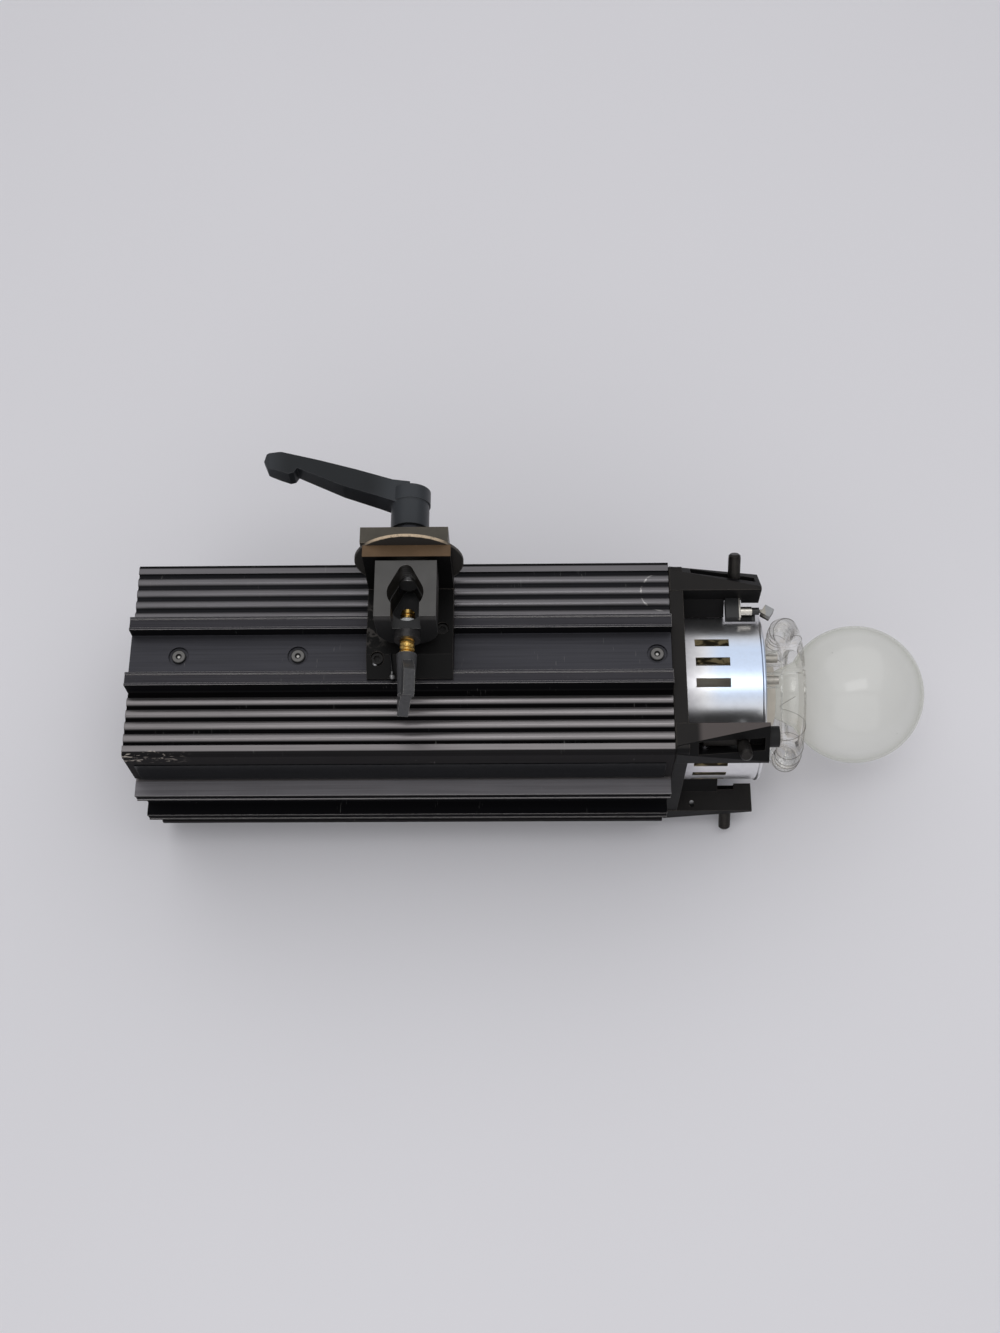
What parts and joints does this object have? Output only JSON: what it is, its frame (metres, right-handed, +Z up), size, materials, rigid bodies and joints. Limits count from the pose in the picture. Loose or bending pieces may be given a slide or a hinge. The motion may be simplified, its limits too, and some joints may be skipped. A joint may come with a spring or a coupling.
{
  "type": "studio strobe",
  "caption": "Compact studio strobe with a finned square case, ring flash tube round a globe modelling lamp, sprung accessory fingers and a tilting stand bracket with clamp lever",
  "frame": {"origin": "on the optical axis, in the plane of the front bezel's face, where an accessory seats", "axes": "+X points out of the front along the optical axis, +Z up with the stand bracket on top, +Y towards the clamp lever's side"},
  "size_m": [0.4483, 0.1731, 0.1925],
  "materials": {
    "black_anodised": "extruded aluminium, black anodised, with brighter worn ridges",
    "band_black": "glossy black plate, bare",
    "bezel_black": "cast aluminium, matt black paint",
    "panel_grey": "sheet aluminium, matt dark grey paint",
    "zinc_steel": "zinc plated steel",
    "dark_screw": "blackened steel, worn bright at the edges",
    "black_plastic": "moulded black plastic",
    "red_plastic": "moulded red plastic",
    "pale_plastic": "moulded pale grey plastic",
    "green_lens": "clear green plastic lens",
    "red_lens": "dark red plastic dome",
    "nickel": "nickel plated brass",
    "circuit_board": "glass fibre board with green lacquer",
    "capacitor_sleeve": "blue plastic sleeve over an aluminium can",
    "bare_aluminium": "plain sheet aluminium",
    "copper_coil": "varnished copper winding on an iron core",
    "bright_can": "polished spun aluminium",
    "white_ceramic": "white ceramic",
    "lamp_brass": "rolled brass screw cap",
    "frosted_glass": "frosted glass",
    "filament": "glass stem with a tungsten coil",
    "clear_glass": "clear glass",
    "electrode": "sintered metal",
    "black_rubber": "black rubber",
    "knurled_steel": "knurled blackened steel",
    "spring_steel": "spring steel",
    "bracket_black": "steel with worn black lacquer",
    "friction_fibre": "pressed friction fibre with a tan edge",
    "socket_black": "machined aluminium, black anodised",
    "plate_bronze": "machined aluminium, dull bronze brown",
    "white_nylon": "white nylon",
    "thumb_brass": "turned brass",
    "lever_grey": "die cast zinc, dark blue grey enamel"
  },
  "bodies": {
    "root": {"case_shell": "black_anodised", "band_plates": "band_black", "channel_screws": "dark_screw", "front_bezel": "bezel_black", "tie_rods": "zinc_steel", "rear_panel": "panel_grey", "mains_inlet": "black_plastic", "fuse_holder": "black_plastic", "rocker_frames": "black_plastic", "slider_pots": "zinc_steel", "ready_lamp": "green_lens", "slave_sensor": "red_lens", "sync_jack": "nickel", "control_board": "circuit_board", "board_standoffs": "zinc_steel", "capacitors": "capacitor_sleeve", "capacitor_clamps": "bare_aluminium", "power_board": "circuit_board", "charging_choke": "copper_coil", "rectifier_heatsink": "bare_aluminium", "front_chassis": "bare_aluminium", "trigger_transformer": "black_plastic", "lamp_can": "bright_can", "can_floor": "white_ceramic", "lamp_socket": "white_ceramic", "lamp_cap": "lamp_brass", "lamp_globe": "frosted_glass", "lamp_filament": "filament", "flash_tube": "clear_glass", "tube_electrodes": "electrode", "trigger_terminals": "nickel", "arm_bumper": "black_rubber", "finger_axles": "zinc_steel", "finger_springs": "spring_steel", "bracket_base": "bracket_black", "bracket_screws": "dark_screw", "bracket_nut_plate": "zinc_steel", "friction_disc": "friction_fibre"},
    "tilt_head": {"stand_socket": "socket_black", "tilt_bolt": "zinc_steel", "thrust_washer": "white_nylon", "clamp_plate": "plate_bronze", "thumb_bush": "nickel"},
    "thumb_screw": {"thumb_screw": "thumb_brass"},
    "wing_knob": {"wing_knob": "knurled_steel"},
    "clamp_insert": {"clamp_insert": "zinc_steel", "lever_screw": "dark_screw", "lever_spring": "spring_steel"},
    "clamp_lever": {"clamp_lever": "lever_grey"},
    "finger_1": {"finger_1": "knurled_steel"},
    "finger_2": {"finger_2": "knurled_steel"},
    "finger_3": {"finger_3": "knurled_steel"},
    "finger_4": {"finger_4": "knurled_steel"},
    "power_rocker": {"power_rocker": "red_plastic"},
    "lamp_rocker": {"lamp_rocker": "black_plastic"},
    "recycle_rocker": {"recycle_rocker": "black_plastic"},
    "flash_slider": {"flash_slider": "pale_plastic"},
    "lamp_slider": {"lamp_slider": "pale_plastic"},
    "test_button": {"test_button": "red_plastic"}
  },
  "joints": [
    {"name": "tilt", "type": "hinge", "parent": "root", "child": "tilt_head", "pos_m": [-0.1509, 0.035, 0.0953], "axis": [0, 1, 0], "range_deg": [-90, 90]},
    {"name": "thumb_travel", "type": "slide", "parent": "tilt_head", "child": "thumb_screw", "axis": [0, 1, 0], "range_m": [-0.0088, 0.0038]},
    {"name": "wing_turn", "type": "hinge", "parent": "thumb_screw", "child": "wing_knob", "pos_m": [-0.1509, -0.02, 0.0933], "axis": [0, 1, 0], "range_deg": [-1812, 783]},
    {"name": "lever_turn", "type": "hinge", "parent": "tilt_head", "child": "clamp_insert", "pos_m": [-0.1509, 0.06, 0.0953], "axis": [0, 1, 0], "range_deg": [-30, 180]},
    {"name": "lever_lift", "type": "slide", "parent": "clamp_insert", "child": "clamp_lever", "axis": [0, 1, 0], "range_m": [0, 0.0035], "stiffness_N_per_m": 2000, "deforming": ["lever_spring"]},
    {"name": "finger_1_swing", "type": "hinge", "parent": "root", "child": "finger_1", "pos_m": [0.009, -0.04631, 0.04631], "axis": [0, 0.7071, 0.7071], "range_deg": [0, 12], "stiffness_Nm_per_rad": 0.6},
    {"name": "finger_2_swing", "type": "hinge", "parent": "root", "child": "finger_2", "pos_m": [0.009, -0.04631, -0.04631], "axis": [0, -0.7071, 0.7071], "range_deg": [0, 12], "stiffness_Nm_per_rad": 0.6},
    {"name": "finger_3_swing", "type": "hinge", "parent": "root", "child": "finger_3", "pos_m": [0.009, 0.04631, -0.04631], "axis": [0, -0.7071, -0.7071], "range_deg": [0, 12], "stiffness_Nm_per_rad": 0.6},
    {"name": "finger_4_swing", "type": "hinge", "parent": "root", "child": "finger_4", "pos_m": [0.009, 0.04631, 0.04631], "axis": [0, 0.7071, -0.7071], "range_deg": [0, 12], "stiffness_Nm_per_rad": 0.6},
    {"name": "power_rock", "type": "hinge", "parent": "root", "child": "power_rocker", "pos_m": [-0.2909, -0.026, 0.033], "axis": [0, 1, 0], "range_deg": [-16, 0]},
    {"name": "lamp_rock", "type": "hinge", "parent": "root", "child": "lamp_rocker", "pos_m": [-0.2909, 0, 0.006], "axis": [0, 1, 0], "range_deg": [-16, 0]},
    {"name": "recycle_rock", "type": "hinge", "parent": "root", "child": "recycle_rocker", "pos_m": [-0.2909, 0, -0.021], "axis": [0, 1, 0], "range_deg": [-16, 0]},
    {"name": "flash_slide", "type": "slide", "parent": "root", "child": "flash_slider", "axis": [0, 0, 1], "range_m": [-0.02, 0.02]},
    {"name": "lamp_slide", "type": "slide", "parent": "root", "child": "lamp_slider", "axis": [0, 0, 1], "range_m": [-0.02, 0.02]},
    {"name": "button_press", "type": "slide", "parent": "root", "child": "test_button", "axis": [1, 0, 0], "range_m": [0, 0.0015], "stiffness_N_per_m": 800}
  ],
  "couplings": [
    {"joint": "wing_turn", "follows": "thumb_travel", "rad_per_m": 3590.4}
  ]
}
